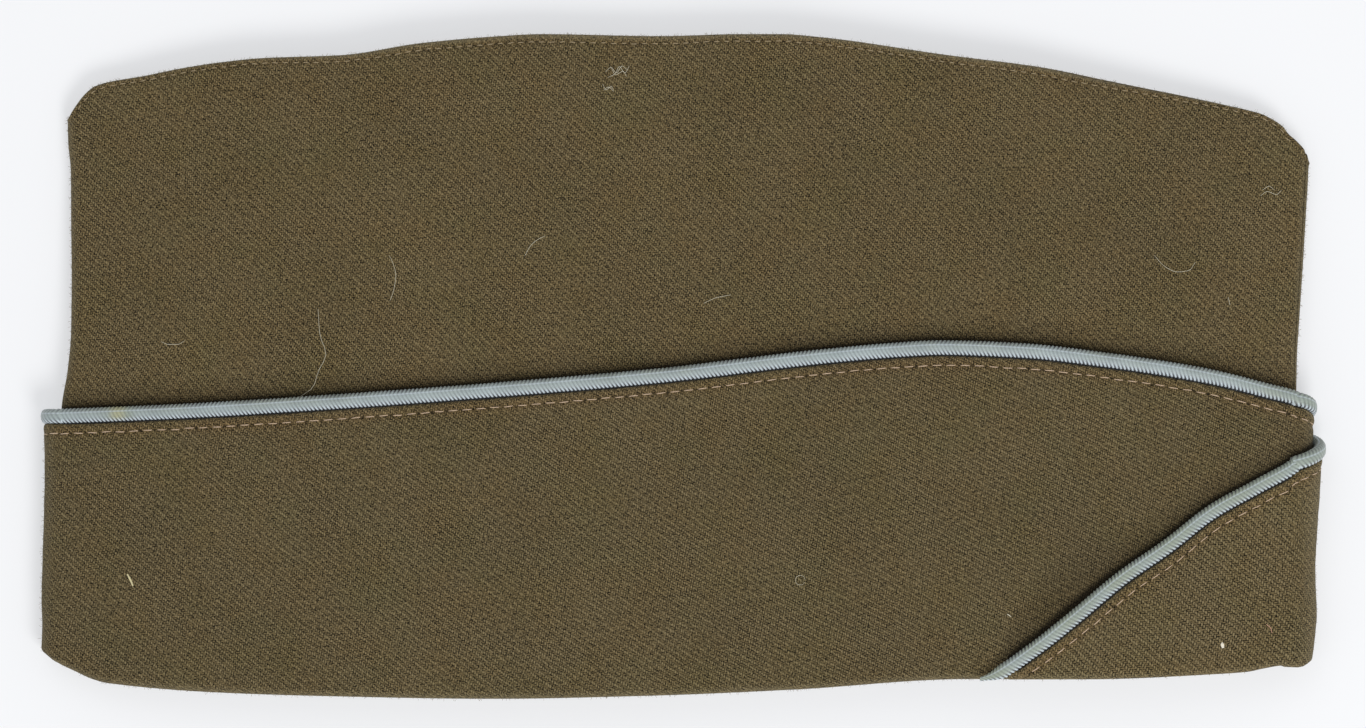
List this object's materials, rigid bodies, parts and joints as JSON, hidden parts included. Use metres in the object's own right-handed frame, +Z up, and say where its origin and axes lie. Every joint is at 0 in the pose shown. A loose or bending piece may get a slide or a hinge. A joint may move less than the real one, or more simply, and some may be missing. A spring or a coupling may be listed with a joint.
{
  "type": "garrison cap",
  "caption": "Folded wool serge garrison cap lying flat, with turned-up curtains that lap at the front and a corded piping along their edge.",
  "frame": {"origin": "under the middle of the cap's bounding box, on the surface that it lies on", "axes": "+X towards the front of the cap along its length, +Y towards its top edge, +Z up through its flat thickness"},
  "size_m": [0.2914, 0.1504, 0.0216],
  "materials": {
    "serge": "matt olive drab wool serge twill, slightly fuzzy",
    "piping_cord": "pale blue-grey twisted and braided cord, slightly lustrous"
  },
  "bodies": {
    "root": {"crown_side_right": "serge", "crown_side_left": "serge", "crown_top_right": "serge", "crown_top_left": "serge", "curtain_right": "serge", "curtain_left": "serge", "piping": "piping_cord"}
  },
  "joints": []
}
